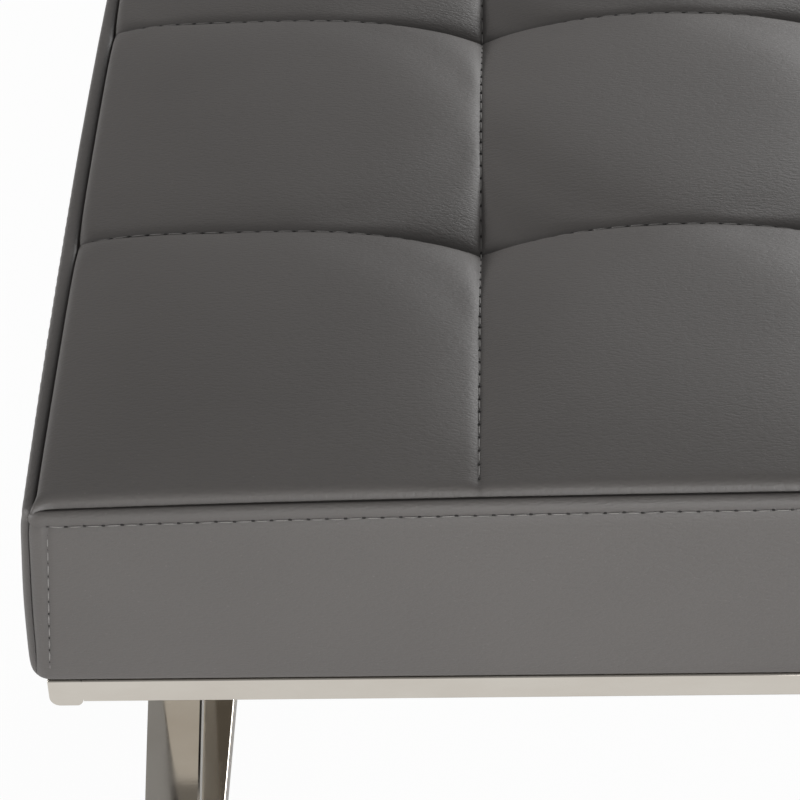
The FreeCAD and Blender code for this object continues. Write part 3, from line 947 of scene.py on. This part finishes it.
def make_dust_sheet():
    """Black cloth stapled under the seat, which hangs a little between the rails."""
    low, high = (corner / MM for corner in map(Vector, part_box("dust_cover")))
    rail_inner = Vector(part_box("front_rail")[1]).y / MM
    rail_half = Vector(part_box("centre_rail")[1]).x / MM
    end_inner = Vector(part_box("left_side_rail")[1]).x / MM
    bm = bmesh.new()
    bmesh.ops.create_grid(bm, x_segments=SHEET_STEPS_X, y_segments=SHEET_STEPS_Y, size=1)
    for vert in bm.verts:
        x = blend(low.x, high.x, (vert.co.x + 1) / 2)
        y = blend(low.y, high.y, (vert.co.y + 1) / 2)
        clear_y = smooth((-rail_inner - abs(y)) / SAG_RUN)
        clear_x = smooth((abs(x) - rail_half) / SAG_RUN) * smooth((-end_inner - abs(x)) / SAG_RUN)
        change = 1 + SAG_CHANGE * ripple(x, y, SAG_SEED, SAG_LUMP_SIZE)
        vert.co = Vector((x, y, high.z - SHEET_DROP - SAG * clear_x * clear_y * change))
    bmesh.ops.recalc_face_normals(bm, faces=bm.faces)
    sheet = new_object("dust_sheet", bm, DUST_CLOTH)
    thicken(sheet, SHEET_THICK)
    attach(sheet, "root")
    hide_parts("dust_cover")


def dress_cad_nodes():
    """Give the CAD pieces that stay in sight their finishes."""
    finishes = {
        "polished_steel": STEEL,
        "zinc_steel": ZINC,
        "nylon": NYLON,
        "plywood": PLYWOOD,
    }
    for subpart in frame["record"]["subparts"]:
        material = finishes.get(subpart["material_slot"])
        if material:
            piece = frame["nodes"][subpart["node"]]
            piece.data.materials.clear()
            piece.data.materials.append(material)


# Studio, in metres and degrees
WHITE = rgb(1, 1, 1)
AMBIENT = rgb(0.255, 0.255, 0.255)
FLOOR_TO_CAMERA = 0.96
FLOOR_IN_METAL = 0.9
WORLD_IN_METAL = 0.1
SHADE_HALF_LENGTH = 0.62
SHADE_HALF_DEPTH = 0.34
SHADE_SOFTNESS = 0.4
FLOOR_HALF = 9
SEAT_MIDDLE = (0, 0, 0.42)
LEFT_EDGE = (-0.5, 0, 0.44)
CAMERA_PLACE = (-0.328, -1.223, 1.257)
CAMERA_YAW = -2.93
CAMERA_PITCH = 38.6
CAMERA_ROLL = -2.59


def add_softbox(name, place, aim, size, power, spread=180):
    """A large lamp with square corners that looks at a point, with the spread of its light in degrees."""
    lamp = bpy.data.lights.new(name, "AREA")
    lamp.shape = "RECTANGLE"
    lamp.size, lamp.size_y = size
    lamp.energy = power
    lamp.spread = math.radians(spread)
    made = bpy.data.objects.new(name, lamp)
    made.location = place
    made.rotation_euler = (Vector(aim) - Vector(place)).to_track_quat("-Z", "Y").to_euler()
    bpy.context.scene.collection.objects.link(made)


def seen_share(finish, to_camera, in_reflections):
    """How much of the white background a ray sees: the camera's, or one that metal or glass sends on."""
    camera = finish.node("LightPath", output="Is Camera Ray")
    glossy = finish.node("LightPath", output="Is Glossy Ray")
    through = finish.node("LightPath", output="Is Transmission Ray")
    return camera * to_camera + (glossy + through) * in_reflections


def make_floor():
    """A pale floor that looks white, also in metal but for a shaded patch under the bench."""
    finish = Finish("studio_floor")
    finish.surface(Base_Color=rgb(0.82, 0.82, 0.81), Roughness=0.9)
    lit = Value(finish, finish.shader.outputs[0])
    glow = finish.node("Emission", None, {"Color": WHITE, "Strength": 1.0})
    patch = finish.place(OBJECT_SPACE, (1 / SHADE_HALF_LENGTH, 1 / SHADE_HALF_DEPTH, 0))
    outwards = finish.node("VectorMath", {"operation": "LENGTH"}, {0: patch}, "Value")
    share = seen_share(finish, FLOOR_TO_CAMERA, outwards.above(1.0, SHADE_SOFTNESS) * FLOOR_IN_METAL)
    mixed = finish.node("MixShader", None, {0: share, 1: lit, 2: glow})
    finish.feed(finish.tree.nodes["Material Output"].inputs["Surface"], mixed)
    bm = bmesh.new()
    bmesh.ops.create_grid(bm, x_segments=1, y_segments=1, size=FLOOR_HALF / MM)
    floor = new_object("studio_floor", bm, finish.made)


def make_world():
    """White to the camera and soft grey light for everything else, a little paler in reflections."""
    finish = Finish("studio", bpy.data.worlds, "Background")
    share = seen_share(finish, 1.0, WORLD_IN_METAL)
    bpy.context.scene.world = finish.surface(Color=finish.tint(share, AMBIENT, WHITE))


def make_camera():
    """The photograph's viewpoint, with a long lens in millimetres."""
    lens = bpy.data.cameras.new("camera")
    lens.sensor_width = 36
    lens.lens = 145.2
    camera = bpy.data.objects.new("camera", lens)
    turn = (
        Matrix.Rotation(math.radians(-CAMERA_YAW), 4, "Z")
        @ Matrix.Rotation(math.radians(90 - CAMERA_PITCH), 4, "X")
        @ Matrix.Rotation(math.radians(CAMERA_ROLL), 4, "Z")
    )
    camera.matrix_world = Matrix.Translation(CAMERA_PLACE) @ turn
    bpy.context.scene.collection.objects.link(camera)
    bpy.context.scene.camera = camera


dress_cad_nodes()
make_top_panel()
for side, (turn, long_side) in SIDES.items():
    make_boxing(side, turn, long_side)
sew("border", border_stitches, BOXING_HOLE_SINK)
sew("corner", corner_stitches, BOXING_HOLE_SINK)
sew("quilt", quilt_stitches, QUILT_HOLE_SINK)
make_foam_slab()
make_dust_sheet()
make_floor()
make_world()
add_softbox("front_softbox", place=(1.2, -2.8, 0.25), aim=SEAT_MIDDLE, size=(2.6, 0.4), power=8, spread=40)
add_softbox("rear_softbox", place=(1.3, 2.2, 1.6), aim=SEAT_MIDDLE, size=(1.8, 1.0), power=60)
add_softbox("left_softbox", place=(-3.0, -0.3, 1.0), aim=LEFT_EDGE, size=(1.6, 0.4), power=2.2, spread=30)
make_camera()
bpy.context.scene.view_settings.view_transform = "Standard"
